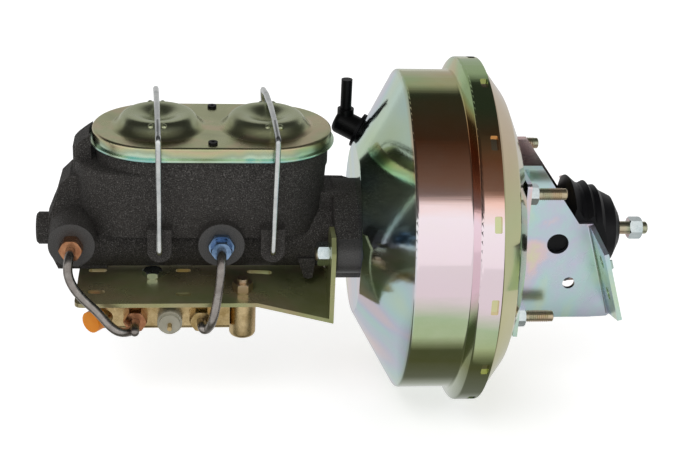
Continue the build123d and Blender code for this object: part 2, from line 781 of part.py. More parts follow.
with BuildPart() as master_cylinder:
    with BuildSketch(at_x(flange_face)):
        Circle(flange_round)
        with Locations((-front_stud_y, 0), (front_stud_y, 0)):
            Circle(ear_radius)
        make_hull()
    extrude(amount=flange_thickness)
    fillet(master_cylinder.edges().group_by(Axis.X)[0], 2)
    with BuildSketch(at_x(nose_face)):
        Circle(pilot_radius - 0.2)
    extrude(amount=pilot_length)
    with BuildSketch(at_x(flange_face)):
        Circle(barrel_radius)
    extrude(amount=barrel_front - flange_face)
    # Nose
    add(turned([(barrel_front + 8, 0), (barrel_front + 8, barrel_radius + 2),
                (nose_tip + 4, barrel_radius - 2), (nose_tip, plug_radius + 3.5), (nose_tip, 0)]))
    # Reservoir body, rim and lug
    with BuildSketch(Plane.XY.offset(body_bottom)):
        with Locations((body_x, 0)):
            SlotOverall(body_length - 6, reservoir_width - 10)
    with BuildSketch(Plane.XY.offset(reservoir_shoulder)):
        with Locations((body_x, 0)):
            SlotOverall(body_length, reservoir_width)
    loft()
    fillet(master_cylinder.faces().filter_by(Axis.Z).sort_by(Axis.Z)[-1].edges(), 2.5)
    with BuildSketch(Plane.XY.offset(reservoir_shoulder - 4)):
        with Locations((lid_x, 0)):
            SlotOverall(rim_length, rim_width)
    extrude(amount=reservoir_top - reservoir_shoulder + 4)
    add(lid_lug())
    # Web from the reservoir to the flange, and the rib below the near ear
    with BuildSketch(Plane.XZ):
        with BuildLine():
            Polyline((reservoir_rear - 20, 0), (reservoir_rear - 20, web_top),
                     (nose_face - 8, web_top - 0.5), (nose_face - 1, web_top - 3), (nose_face - 1, 0),
                     close=True)
        make_face()
    extrude(amount=15, both=True)
    with BuildSketch(Plane.XZ):
        with BuildLine():
            Polyline((nose_tip, -11), (nose_tip, 12), (nose_tip + 5, 25), (nose_tip + 9, 39),
                     (nose_tip + 16, 46), (nose_tip + 40, 46), (nose_tip + 40, -25), (nose_tip + 6, -25),
                     close=True)
        make_face()
    extrude(amount=15, both=True)
    with BuildSketch(at_y(0, -14, 0)):
        with BuildLine():
            Polyline((flange_face - 24, -12), (flange_face - 19, -27), (flange_face - 16, -28),
                     (flange_face - 13, -27), (flange_face - 11, -12), close=True)
        make_face()
    extrude(amount=12)
    # Outlet bosses
    for outlet_x in (front_outlet_x, rear_outlet_x):
        with BuildSketch(at_y(outlet_x, 0, outlet_z)):
            Circle(outlet_boss_radius)
        extrude(amount=outlet_face)
    # Bail pivot bosses with ribs up to the reservoir
    for pivot_x, side in pivots:
        with BuildSketch(pivot_plane(pivot_x, side)):
            Circle(pivot_boss_radius)
            with Locations((0, side * pivot_boss_radius)):
                Rectangle(2 * pivot_boss_radius, 2 * pivot_boss_radius)
        extrude(amount=pivot_face - 10)
    # Bore and the holes of the studs and the wires
    with BuildSketch(at_x(nose_face + pilot_length)):
        Circle(bore_radius)
    extrude(amount=bore_front - nose_face - pilot_length, mode=Mode.SUBTRACT)
    with BuildSketch(at_x(bore_front)):
        Circle(plug_radius - 2.5)
    extrude(amount=2 * (nose_tip - bore_front), mode=Mode.SUBTRACT)
    with BuildSketch(at_x(nose_face)):
        with Locations((-front_stud_y, 0), (front_stud_y, 0)):
            Circle(front_stud_radius + bolt_gap)
    extrude(amount=-2 * flange_thickness, mode=Mode.SUBTRACT)
    for pivot_x, side in pivots:
        with BuildSketch(pivot_plane(pivot_x, side)):
            Circle(bail_wire + run_gap)
        extrude(amount=pivot_face - bail_end_y + 1, mode=Mode.SUBTRACT)
    # Outlet seats and passages to the bore
    for outlet_x in (front_outlet_x, rear_outlet_x):
        for hole, bottom in ((tube_shank_radius + seat_gap, outlet_face - tube_shank_depth - 1),
                             (passage_radius, 0)):
            with BuildSketch(at_y(outlet_x, -outlet_face, outlet_z)):
                Circle(hole)
            extrude(amount=bottom - outlet_face, mode=Mode.SUBTRACT)
    # Two fluid chambers with a wall between them, and their ports into the bore
    with BuildSketch(Plane.XY.offset(reservoir_floor)):
        with Locations((lid_x, 0)):
            SlotOverall(chamber_length, chamber_width)
            Rectangle(reservoir_wall, reservoir_width, mode=Mode.SUBTRACT)
    extrude(amount=reservoir_top, mode=Mode.SUBTRACT)
    with BuildSketch(Plane.XY.offset(reservoir_floor)):
        with Locations(*[(port_x, 0) for port_x in fluid_ports]):
            Circle(1.5)
    extrude(amount=-reservoir_floor, mode=Mode.SUBTRACT)
write(master_cylinder.part, "master_cylinder", cast_black)

with BuildPart() as front_end_plug:
    with BuildSketch(at_x(nose_tip)):
        Circle(plug_radius)
    extrude(amount=-plug_height)
    chamfer(front_end_plug.edges().group_by(Axis.X)[0], 1.5)
    with BuildSketch(at_x(nose_tip)):
        Circle(plug_radius - 2.5 - seat_gap)
    extrude(amount=plug_height)
write(front_end_plug.part, "front_end_plug", cast_black)

# Pistons, cups and springs in the bore
piston_radius = bore_radius - run_gap


def piston(rear, length, socket=0.0):
    """A grooved piston that runs forward from its rear face."""
    front = rear - length
    with BuildPart() as made:
        add(turned([
            (rear, 0), (rear, piston_radius), (rear - 9, piston_radius), (rear - 9, piston_neck),
            (rear - 9 - cup_height, piston_neck), (rear - 9 - cup_height, piston_radius),
            (rear - 20, piston_radius), (rear - 22, piston_neck), (front + 12 + cup_height, piston_neck),
            (front + 10 + cup_height, piston_radius), (front + 4 + cup_height, piston_radius),
            (front + 4 + cup_height, piston_neck), (front + 4, piston_neck),
            (front + 4, piston_radius - 2.5), (front, piston_radius - 2.5), (front, 0),
        ]))
        if socket:
            with BuildSketch(at_x(rear)):
                Circle(output_rod_radius + free_gap)
            extrude(amount=-socket, mode=Mode.SUBTRACT)
    return made.part


def cup(rear):
    """A lip cup in a piston's groove."""
    return turned([
        (rear - seat_gap, piston_neck + seat_gap), (rear - seat_gap, piston_radius - 0.4),
        (rear - cup_height + 0.6, piston_radius), (rear - cup_height + seat_gap, piston_radius - 0.8),
        (rear - cup_height + seat_gap, piston_neck + seat_gap), (rear - seat_gap, piston_neck + seat_gap),
    ])


write(piston(primary_rear, primary_length, primary_rear - output_socket + free_gap), "primary_piston",
      steel)
write(piston(secondary_rear, secondary_length), "secondary_piston", steel)
for name, rear, length in (("primary_cups", primary_rear, primary_length),
                           ("secondary_cups", secondary_rear, secondary_length)):
    write(Compound(children=[cup(rear - 9), cup(rear - length + 4 + cup_height)]), name, rubber)
spring_gap = 0.1
for name, start, end in (("primary_spring", primary_rear - primary_length, secondary_rear),
                         ("secondary_spring", secondary_rear - secondary_length, bore_front)):
    write(coil(start - spring_gap, end + spring_gap, 8.6, 8.6, 1.8, 6), name, steel)

with BuildPart() as piston_stop:
    with BuildSketch(at_x(primary_rear + 0.2)):
        Circle(bore_radius - seat_gap)
        Circle(output_rod_radius + 2.5, mode=Mode.SUBTRACT)
    extrude(amount=2)
write(piston_stop.part, "piston_stop", steel)

# Reservoir gasket, lid and vent plugs
with BuildPart() as lid_gasket:
    with BuildSketch(Plane.XY.offset(reservoir_top)):
        with Locations((lid_x, 0)):
            SlotOverall(rim_length + 0.6, rim_width + 0.6)
    extrude(amount=gasket_height)
    with BuildSketch(Plane.XY.offset(reservoir_top)):
        with Locations((lid_x - dome_offset, 0), (lid_x + dome_offset, 0)):
            for bellows_radius in bellows_radii:
                Circle(bellows_radius)
                Circle(bellows_radius - bellows_wall, mode=Mode.SUBTRACT)
    extrude(amount=-bellows_depth)
write(lid_gasket.part, "lid_gasket", rubber)

bail_places = {
    "front_bail": (front_pivot_x, front_bail_near, front_bail_far),
    "rear_bail": (rear_pivot_x, rear_bail_near, rear_bail_far),
}
bump_reach = dome_crest + 3.0


def wire_x(pivot_x, near_x, far_x, y):
    """X of a bail's crown at a place across the lid."""
    return pivot_x + near_x + (far_x - near_x) * (y + bail_arm_y) / (2 * bail_arm_y)


with BuildPart() as reservoir_lid:
    with BuildSketch(Plane.XY.offset(lid_skirt)):
        with Locations((lid_x, 0)):
            SlotOverall(lid_length, lid_width)
    extrude(amount=lid_top - lid_skirt)
    fillet(reservoir_lid.edges().group_by(Axis.Z)[-1], lid_edge)
    with BuildSketch(Plane.XY.offset(lid_skirt)):
        with Locations((lid_x, 0)):
            SlotOverall(lid_length + 2 * lip_width, lid_width + 2 * lip_width)
    extrude(amount=lip_height)
    fillet(reservoir_lid.faces().filter_by(Axis.Z).sort_by(Axis.Z)[0].edges(), lip_height * 0.45)
    with BuildSketch(Plane.XY.offset(lid_skirt)):
        with Locations((lid_x, 0)):
            SlotOverall(lid_length - 2 * lid_wall, lid_width - 2 * lid_wall)
    extrude(amount=lid_top - lid_skirt - lid_wall, mode=Mode.SUBTRACT)
    for side in (-1, 1):
        dome_x = lid_x + side * dome_offset
        with BuildSketch(Plane.XY.offset(lid_top)):
            with Locations((dome_x, 0)):
                Circle(dome_radius)
        extrude(amount=-2 * lid_wall, mode=Mode.SUBTRACT)
        with BuildSketch(Plane(origin=(dome_x, 0, lid_top), x_dir=(1, 0, 0), z_dir=(0, -1, 0))):
            with BuildLine():
                upper_dish = Spline((0, dome_dish), (dome_crest, dome_rise), tangents=((1, 0), (1, 0)))
                upper_flank = Spline(upper_dish @ 1, (dome_radius, 0), tangents=((1, 0), (1, -0.2)))
                lower_flank = Spline((dome_radius, -lid_wall), (dome_crest, dome_rise - lid_wall),
                                     tangents=((-1, 0.2), (-1, 0)))
                lower_dish = Spline(lower_flank @ 1, (0, dome_dish - lid_wall), tangents=((-1, 0), (-1, 0)))
                Line(upper_flank @ 1, lower_flank @ 0)
                Line(lower_dish @ 1, upper_dish @ 0)
            make_face()
        revolve(axis=Axis((dome_x, 0, 0), (0, 0, 1)))
    # Bumps on both sides of each wire, on the domes
    for pivot_x, near_x, far_x in bail_places.values():
        for bump_y in (-bump_reach, bump_reach):
            for bump_x in (-bail_wire - bump_radius, bail_wire + bump_radius):
                with Locations((wire_x(pivot_x, near_x, far_x, bump_y) + bump_x, bump_y,
                                lid_top + dome_rise - bump_radius)):
                    Sphere(bump_radius)
write(reservoir_lid.part, "reservoir_lid", zinc_yellow)

plug_list = []
for side in (-1, 1):
    with BuildPart() as vent_plug:
        with BuildSketch(Plane.XY.offset(lid_top)):
            with Locations((lid_x, side * vent_y)):
                Circle(vent_radius)
                RegularPolygon(radius=1.3, side_count=6, mode=Mode.SUBTRACT)
        extrude(amount=1.6)
        with BuildSketch(Plane.XY.offset(lid_top)):
            with Locations((lid_x, side * vent_y)):
                Circle(vent_radius)
        extrude(amount=0.5)
    plug_list.append(vent_plug.part)
write(Compound(children=plug_list), "vent_plugs", rubber)

# Wire bails
crown_line = [
    (-bail_arm_y, bail_corner_z),
    (-bail_shoulder_y, bail_crown_z - bail_crown_drop),
    (0, bail_crown_z),
    (bail_shoulder_y, bail_crown_z - bail_crown_drop),
    (bail_arm_y, bail_corner_z),
]
for name, (pivot_x, near_x, far_x) in bail_places.items():
    bail_path = [
        (pivot_x, -bail_end_y, pivot_z),
        (pivot_x, -bail_arm_y, pivot_z),
        *[(wire_x(pivot_x, near_x, far_x, y), y, z) for y, z in crown_line],
        (pivot_x, bail_arm_y, pivot_z),
        (pivot_x, bail_end_y, pivot_z),
    ]
    with BuildPart() as bail:
        with BuildLine() as wire_line:
            FilletPolyline(*bail_path, radius=3)
        with BuildSketch(Plane(origin=wire_line.line @ 0, z_dir=wire_line.line % 0)):
            Circle(bail_wire)
        sweep()
    write(bail.part, name, zinc_white)

# Bracket of the combination valve
slots = [(-293, -9, 13, 5), (-292, -42, 12, 5), (-232.5, -9.4, 11, 5), (-232, -46, 11, 5),
         (-178, -11.7, 18, 5.5)]
tray_mid = (tray_back - tray_front) / 2
tray_width = tray_front + tray_back
plate_near = -tray_front
with BuildPart() as valve_bracket:
    with BuildSketch(Plane.XY.offset(tray_top - tray_sheet)):
        with Locations(((tray_left + tray_right) / 2, tray_mid)):
            Rectangle(tray_right - tray_left, tray_width)
    extrude(amount=tray_sheet)
    fillet(valve_bracket.edges().filter_by(Axis.Z).group_by(Axis.X)[0], 5)
    # Ramp that falls away on the near side
    with BuildSketch(at_x(tray_right)):
        with Locations((tray_mid, tray_top - tray_sheet / 2)):
            Rectangle(tray_width, tray_sheet)
    with BuildSketch(at_x(flange_face - 0.1)):
        with BuildLine():
            Polyline((plate_near, tray_top - ramp_drop), (tray_back, tray_top),
                     (tray_back, tray_top - tray_sheet), (plate_near, tray_top - ramp_drop - tray_sheet),
                     close=True)
        make_face()
    loft()
    # Upright plate on the master cylinder's near ear
    with BuildSketch(at_x(bracket_plate_front)):
        with BuildLine():
            Polyline((plate_near, tray_top - ramp_drop - tray_sheet + 0.5), (plate_near, 8),
                     (plate_near + 7, 17), (plate_near + 25, 17), (plate_near + 33, 8), (-10, -20),
                     (tray_back, -24), (tray_back, tray_top - tray_sheet), close=True)
        make_face()
        Circle(barrel_radius + 2, mode=Mode.SUBTRACT)
        with Locations((-front_stud_y, 0)):
            Circle(front_stud_radius + bolt_gap, mode=Mode.SUBTRACT)
    extrude(amount=bracket_sheet)
    # Slots and bolt holes
    with BuildSketch(Plane.XY.offset(tray_top + 1)):
        for slot_x, slot_y, slot_length, slot_width in slots:
            with Locations((slot_x, slot_y)):
                SlotOverall(slot_length, slot_width)
        with Locations((lug_bolt_x, lug_bolt_y), (post_x, post_y)):
            Circle(valve_stud_radius + bolt_gap)
    extrude(amount=-ramp_drop, mode=Mode.SUBTRACT)
write(valve_bracket.part, "valve_bracket", zinc_yellow)

# Combination valve
valve_top = tray_top - tray_sheet
valve_mid_y = -(valve_front + valve_back) / 2
spool_y = -valve_back - 8
cap_turn = radians(cap_angle)
cap_way = Vector(-sin(cap_turn), -cos(cap_turn), 0)
cap_plane = Plane(origin=(valve_left + 5.5, -valve_front + 5.4, switch_z), x_dir=(0, 0, 1), z_dir=cap_way)
cap_boss_length = 14.0
wheel_port_radius = 4.76
wheel_port_depth = 8.0
spool_margin = 9.5     # from the block's end to the spool
spool_room = 4.5       # past the spool's other end
with BuildPart() as combination_valve:
    with BuildSketch(Plane.XY.offset(valve_top - valve_height)):
        with Locations(((valve_left + valve_right) / 2, valve_mid_y)):
            Rectangle(valve_right - valve_left, valve_front - valve_back)
    extrude(amount=valve_height)
    fillet(combination_valve.edges().filter_by(Axis.X), 3)
    with BuildSketch(Plane.XY.offset(post_end)):
        with Locations((post_x, post_y)):
            Circle(post_radius)
    extrude(amount=valve_top - post_end)
    fillet(combination_valve.edges().group_by(Axis.Z)[0], 3)
    with BuildSketch(Plane.XY.offset(valve_top)):
        with BuildLine():
            Polyline((lug_bolt_x - 9, -valve_back - 3), (lug_bolt_x - 7, lug_bolt_y),
                     (lug_bolt_x + 7, lug_bolt_y), (lug_bolt_x + 9, -valve_back - 3), close=True)
        make_face()
        with Locations((lug_bolt_x, lug_bolt_y)):
            Circle(7.5)
    extrude(amount=-12)
    with BuildSketch(cap_plane):
        Circle(6.5)
    extrude(amount=cap_boss_length)
    for port_x in (front_port_x, rear_port_x):
        with BuildSketch(at_y(port_x, -valve_front + 1, valve_port_z)):
            Circle(9)
        extrude(amount=2)
    # Ports, spool bore and threads
    for port_x in (front_port_x, rear_port_x):
        with BuildSketch(at_y(port_x, -valve_front - 1, valve_port_z)):
            Circle(tube_shank_radius + seat_gap)
        extrude(amount=-tube_shank_depth - 1, mode=Mode.SUBTRACT)
    for port_x in (front_port_x - wheel_port_shift, rear_port_x):
        with BuildSketch(at_y(port_x, -valve_back, wheel_port_z)):
            Circle(wheel_port_radius)
        extrude(amount=wheel_port_depth, mode=Mode.SUBTRACT)
    with BuildSketch(at_x(valve_left, spool_y, spool_z)):
        Circle(spool_radius)
    extrude(amount=spool_margin + spool_length + spool_room, mode=Mode.SUBTRACT)
    with BuildSketch(at_y(switch_x, -valve_front, switch_z)):
        Circle(5)
    extrude(amount=-8, mode=Mode.SUBTRACT)
    for bolt_x, bolt_y in ((lug_bolt_x, lug_bolt_y), (post_x, post_y)):
        with BuildSketch(Plane.XY.offset(valve_top)):
            with Locations((bolt_x, bolt_y)):
                Circle(valve_stud_radius + seat_gap)
        extrude(amount=-12, mode=Mode.SUBTRACT)
write(combination_valve.part, "combination_valve", brass)

spool_start = valve_left + spool_margin
with BuildPart() as valve_spool:
    with BuildSketch(at_x(spool_start, spool_y, spool_z)):
        Circle(spool_radius - run_gap)
    extrude(amount=spool_length)
    for groove_x in [spool_start + along for along in spool_grooves]:
        with BuildSketch(at_x(groove_x, spool_y, spool_z)):
            Circle(2 * spool_radius)
            Circle(spool_radius - spool_groove_depth, mode=Mode.SUBTRACT)
        extrude(amount=spool_groove_width, mode=Mode.SUBTRACT)
write(valve_spool.part, "valve_spool", steel)

with BuildPart() as valve_end_plug:
    with BuildSketch(at_x(valve_left, spool_y, spool_z)):
        Circle(spool_radius - seat_gap)
        RegularPolygon(radius=2.0, side_count=6, mode=Mode.SUBTRACT)
    extrude(amount=6)
    with BuildSketch(at_x(valve_left + 3, spool_y, spool_z)):
        Circle(spool_radius - seat_gap)
    extrude(amount=3)
write(valve_end_plug.part, "valve_end_plug", brass)

with BuildPart() as port_cap:
    cap_face = cap_plane.offset(cap_boss_length)
    with BuildSketch(cap_face):
        Circle(7.6)
    extrude(amount=3)
    with BuildSketch(cap_face.offset(-6)):
        Circle(7.6)
        Circle(6.5 + seat_gap, mode=Mode.SUBTRACT)
    extrude(amount=6)
write(port_cap.part, "port_cap", copper)

with BuildPart() as warning_switch:
    with BuildSketch(at_y(switch_x, -valve_front, switch_z)):
        Circle(switch_radius)
    extrude(amount=9)
    with BuildSketch(at_y(switch_x, -valve_front - 9, switch_z)):
        Circle(switch_radius - 1.4)
    extrude(amount=3)
    with BuildSketch(at_y(switch_x, -valve_front, switch_z)):
        Circle(5 - seat_gap)
    extrude(amount=-7)
write(warning_switch.part, "warning_switch", nylon_white)

with BuildPart() as switch_pin:
    with BuildSketch(at_y(switch_x, -valve_front - 12, switch_z)):
        Circle(1.6)
    extrude(amount=6)
write(switch_pin.part, "switch_pin", brass)

with BuildPart() as valve_bolt:
    with BuildSketch(Plane.XY.offset(tray_top)):
        with Locations((lug_bolt_x, lug_bolt_y)):
            Circle(valve_stud_radius)
    extrude(amount=-tray_sheet - 11)
    add(hex_nut(Plane(origin=(lug_bolt_x, lug_bolt_y, tray_top)), valve_nut_flats, bolt_head_height))
write(valve_bolt.part, "valve_bolt", zinc_white)
stud_over = 3.0
with BuildPart() as valve_stud:
    with BuildSketch(Plane.XY.offset(tray_top + valve_nut_height + stud_over)):
        with Locations((post_x, post_y)):
            Circle(valve_stud_radius)
    extrude(amount=-valve_nut_height - stud_over - tray_sheet - 11)
write(valve_stud.part, "valve_stud", zinc_yellow)
write(hex_nut(Plane(origin=(post_x, post_y, tray_top)), valve_nut_flats, valve_nut_height,
              valve_stud_radius + seat_gap), "valve_stud_nut", zinc_yellow)

# Tube nuts and brake pipes
def tube_nut(x, face, z, flats, base=0.0):
    """A tube nut in a port that faces the near side, with an adapter under it where base is set."""
    hole = pipe_radius + 0.1
    with BuildPart() as made:
        add(hex_nut(at_y(x, -face - base, z), flats, tube_nut_height - base / 2, hole))
        with BuildSketch(at_y(x, -face, z)):
            Circle(tube_shank_radius)
            Circle(hole, mode=Mode.SUBTRACT)
        extrude(amount=-tube_shank_depth)
        if base:
            add(hex_nut(at_y(x, -face, z), adapter_flats, base, hole))
    return made.part


valve_face = valve_front + 1
write(tube_nut(front_outlet_x, outlet_face, outlet_z, tube_nut_flats), "front_outlet_nut", copper)
write(tube_nut(rear_outlet_x, outlet_face, outlet_z, small_nut_flats, adapter_height), "rear_outlet_nut",
      steel)
write(tube_nut(front_port_x, valve_face, valve_port_z, tube_nut_flats), "front_valve_nut", copper)
write(tube_nut(rear_port_x, valve_face, valve_port_z, tube_nut_flats), "rear_valve_nut", brass)

# Stations of each pipe: share of the way along X, distance out from the casting, share of the way down
pipe_runs = {
    "front_pipe": (front_outlet_x, front_port_x,
                   [(-0.02, 22, 0.19), (0.12, 24, 0.45), (0.47, 24, 0.78), (0.85, 23, 1.04),
                    (0.98, 19.5, 1.06)]),
    "rear_pipe": (rear_outlet_x, rear_port_x,
                  [(0.04, 22, 0.17), (0.25, 24, 0.6), (0.58, 23, 0.95), (0.81, 19, 1.05)]),
}
pipe_drop = outlet_z - valve_port_z
for name, (start_x, end_x, shares) in pipe_runs.items():
    stations = [(start_x + along * (end_x - start_x), -outlet_face - out, outlet_z - down * pipe_drop)
                for along, out, down in shares]
    with BuildPart() as pipe:
        with BuildLine() as pipe_line:
            lead = Line((start_x, -outlet_face + tube_shank_depth, outlet_z),
                        (start_x, -outlet_face - 11, outlet_z))
            tail = Line((end_x, -valve_face - 8, valve_port_z),
                        (end_x, -valve_face + tube_shank_depth, valve_port_z))
            Spline(lead @ 1, *stations, tail @ 0, tangents=(lead % 1, tail % 0))
        with BuildSketch(Plane(origin=lead @ 0, z_dir=lead % 0)):
            Circle(pipe_radius)
        sweep()
    write(pipe.part, name, steel)

# Vacuum check valve and its grommet
with BuildPart() as check_grommet:
    with BuildSketch(check_plane):
        Circle(grommet_radius)
    extrude(amount=2.5)
    with BuildSketch(check_plane):
        Circle(check_neck_radius + 2 - seat_gap)
    extrude(amount=-sheet - 3)
    with BuildSketch(check_plane.offset(3)):
        Circle(check_neck_radius + seat_gap)
    extrude(amount=-20, mode=Mode.SUBTRACT)
write(check_grommet.part, "check_grommet", rubber)

check_length = 18.0
check_foot = check_plane.offset(2.5 + seat_gap)
nozzle_base = check_foot.origin + check_normal * (check_length - 8)
with BuildPart() as check_valve:
    with BuildSketch(check_foot):
        Circle(check_body_radius)
    extrude(amount=check_length)
    fillet(check_valve.edges().sort_by(lambda e: e.center().dot(check_normal))[-1], 4)
    with BuildSketch(check_foot):
        Circle(check_neck_radius)
    extrude(amount=-2.5 - sheet - 5)
    with BuildSketch(Plane(origin=nozzle_base)):
        Circle(nozzle_radius)
    extrude(amount=nozzle_top - nozzle_base.Z)
    with BuildSketch(Plane(origin=nozzle_base)):
        Circle(nozzle_radius + 2)
    extrude(amount=12)
write(check_valve.part, "check_valve", cast_black)
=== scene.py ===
"""Dressed scene of a vacuum brake booster with its master cylinder, valve and firewall brackets.

Lengths are in metres. X runs along the booster's axis toward the pedal, Z points up, and the camera looks
along +Y."""
from math import cos, pi, radians, sin

import bmesh
import bpy
from mathutils import Matrix, Vector


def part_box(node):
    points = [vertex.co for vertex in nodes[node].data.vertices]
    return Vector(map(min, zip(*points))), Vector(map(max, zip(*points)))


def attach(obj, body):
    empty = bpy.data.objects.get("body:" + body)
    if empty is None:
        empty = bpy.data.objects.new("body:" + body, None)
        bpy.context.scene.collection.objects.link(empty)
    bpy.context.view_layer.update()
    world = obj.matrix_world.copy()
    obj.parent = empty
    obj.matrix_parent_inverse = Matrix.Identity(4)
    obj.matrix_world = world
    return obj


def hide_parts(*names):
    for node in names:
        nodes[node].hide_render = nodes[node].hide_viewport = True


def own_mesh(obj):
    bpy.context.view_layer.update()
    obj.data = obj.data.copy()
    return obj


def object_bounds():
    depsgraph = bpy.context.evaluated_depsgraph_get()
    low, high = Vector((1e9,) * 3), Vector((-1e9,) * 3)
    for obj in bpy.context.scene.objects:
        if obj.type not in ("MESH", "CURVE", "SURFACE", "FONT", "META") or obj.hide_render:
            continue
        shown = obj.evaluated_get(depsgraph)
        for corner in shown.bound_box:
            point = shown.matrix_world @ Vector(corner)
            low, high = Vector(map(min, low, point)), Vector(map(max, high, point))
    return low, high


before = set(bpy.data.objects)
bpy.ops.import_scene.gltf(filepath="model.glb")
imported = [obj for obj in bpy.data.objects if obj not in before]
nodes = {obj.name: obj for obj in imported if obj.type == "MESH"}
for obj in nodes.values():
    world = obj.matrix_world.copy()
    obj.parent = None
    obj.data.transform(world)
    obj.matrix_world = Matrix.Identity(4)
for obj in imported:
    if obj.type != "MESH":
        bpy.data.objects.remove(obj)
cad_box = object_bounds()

scene = bpy.context.scene


# Node trees

class Graph:
    """A node tree that is built step by step."""

    def __init__(self, tree, coordinate):
        self.tree = tree
        self.coord = self.add("ShaderNodeTexCoord").outputs[coordinate]

    def add(self, kind, **values):
        node = self.tree.nodes.new(kind)
        for key, value in values.items():
            setattr(node, key, value)
        return node

    def find(self, kind):
        return next(node for node in self.tree.nodes if node.type == kind)

    def feed(self, socket, value):
        """Sets a socket to a number or a colour, or wires a source into it."""
        if isinstance(value, (int, float)):
            socket.default_value = value
        elif isinstance(value, tuple):
            socket.default_value = (*value, 1)
        else:
            self.tree.links.new(value, socket)

    def axis(self, letter):
        node = self.add("ShaderNodeSeparateXYZ")
        self.feed(node.inputs["Vector"], self.coord)
        return node.outputs[letter]

    def maths(self, operation, first, second=0.0):
        node = self.add("ShaderNodeMath", operation=operation)
        self.feed(node.inputs[0], first)
        self.feed(node.inputs[1], second)
        return node.outputs["Value"]

    def span(self, source, low, high, to_low=0.0, to_high=1.0):
        """The source's stretch from low to high, carried over to the stretch from to_low to to_high."""
        node = self.add("ShaderNodeMapRange")
        self.feed(node.inputs["Value"], source)
        settings = {"From Min": low, "From Max": high, "To Min": to_low, "To Max": to_high}
        for key, value in settings.items():
            node.inputs[key].default_value = value
        return node.outputs["Result"]

    def ramp(self, source, stops):
        """A ramp through stops of a place and a colour, or a place and a grey."""
        node = self.add("ShaderNodeValToRGB")
        elements = node.color_ramp.elements
        while len(elements) < len(stops):
            elements.new(0.5)
        for element, (place, colour) in zip(elements, stops):
            element.position = place
            element.color = (*colour, 1) if isinstance(colour, tuple) else (colour, colour, colour, 1)
        self.feed(node.inputs["Fac"], source)
        return node.outputs["Color"]

    def mix(self, factor, first, second, kind="RGBA"):
        """A blend of two colours, or of two numbers where the kind is FLOAT."""
        node = self.add("ShaderNodeMix", data_type=kind)
        first_place, second_place, result = {"RGBA": (6, 7, 2), "FLOAT": (2, 3, 0)}[kind]
        self.feed(node.inputs[0], factor)
        self.feed(node.inputs[first_place], first)
        self.feed(node.inputs[second_place], second)
        return node.outputs[result]


class Shader(Graph):
    """A material around one principled shader."""

    def __init__(self, name):
        self.mat = bpy.data.materials.new(name)
        self.mat.use_nodes = True
        super().__init__(self.mat.node_tree, "Object")
        self.bsdf = self.find("BSDF_PRINCIPLED")

    def noise(self, scale, detail, rough, distortion=0.0):
        """Noise of one scale, or of a scale for each axis."""
        vector = self.coord
        if isinstance(scale, tuple):
            mapping = self.add("ShaderNodeMapping")
            mapping.inputs["Scale"].default_value = scale
            self.feed(mapping.inputs["Vector"], self.coord)
            vector, scale = mapping.outputs["Vector"], 1.0
        node = self.add("ShaderNodeTexNoise")
        self.feed(node.inputs["Vector"], vector)
        settings = {"Scale": scale, "Detail": detail, "Roughness": rough, "Distortion": distortion}
        for key, value in settings.items():
            node.inputs[key].default_value = value
        return node.outputs["Fac"]

    def bump(self, height, strength, distance):
        node = self.add("ShaderNodeBump")
        self.feed(node.inputs["Height"], height)
        self.feed(node.inputs["Strength"], strength)
        self.feed(node.inputs["Distance"], distance)
        self.feed(self.bsdf.inputs["Normal"], node.outputs["Normal"])

    def set(self, **values):
        """Feeds sockets of the shader, whose names have underscores for spaces here. Returns the material."""
        for key, value in values.items():
            self.feed(self.bsdf.inputs[key.replace("_", " ")], value)
        return self.mat


# Kinds of material

fine_marks = 0.0002  # relief of drawing marks and of a fine skin
cast_grain = 0.0006  # relief of the sand casting
cut_face = 0.0468  # the casting is machined where it reaches further out in Y
film_edge = 0.003  # width over which one film gives way to the other


def passivated(name, stops, band, rough, heights=None, drift=0.5, wave=0.04, paler=None,
               brushed=(40.0, 900.0, 60.0), metal=1.0):
    """Zinc plating with the interference colours of its passivation.

    The colours drift in patches of the band's scales. With two heights, they run from the one to the other by
    height, which lays painted reflection bands over the real tints.
    With paler, an X and more stops, what lies in front of that X takes patches of those stops."""
    s = Shader(name)
    flow = s.noise(band, detail=2.0, rough=0.45, distortion=0.8)
    fine = s.noise(tuple(9 * scale for scale in band), detail=4.0, rough=0.6, distortion=0.3)
    place = s.maths("ADD", flow, s.maths("MULTIPLY", s.maths("SUBTRACT", fine, 0.5), 0.14))
    # Colour by height is painted reflection: bands of light and shade set into the base colour
    if heights:
        spread = s.maths("MULTIPLY", s.maths("SUBTRACT", place, 0.5), drift)
        place = s.maths("ADD", s.span(s.axis("Z"), *heights), spread)
    colour = s.ramp(place, stops)
    if paler:
        edge, paler_stops = paler
        colour = s.mix(s.span(s.axis("X"), edge, edge + film_edge), s.ramp(flow, paler_stops), colour)
    blot = s.span(s.noise(60.0, detail=5.0, rough=0.65), 0.42, 0.75)
    colour = s.mix(s.maths("MULTIPLY", blot, 0.22), colour, s.mix(0.5, colour, (0.86, 0.82, 0.68)))
    s.bump(s.noise(brushed, detail=2.0, rough=0.5), wave, fine_marks)
    smear = s.noise(14.0, detail=4.0, rough=0.6)
    return s.set(Base_Color=colour, Metallic=metal, Roughness=s.span(smear, 0.3, 0.7, *rough))


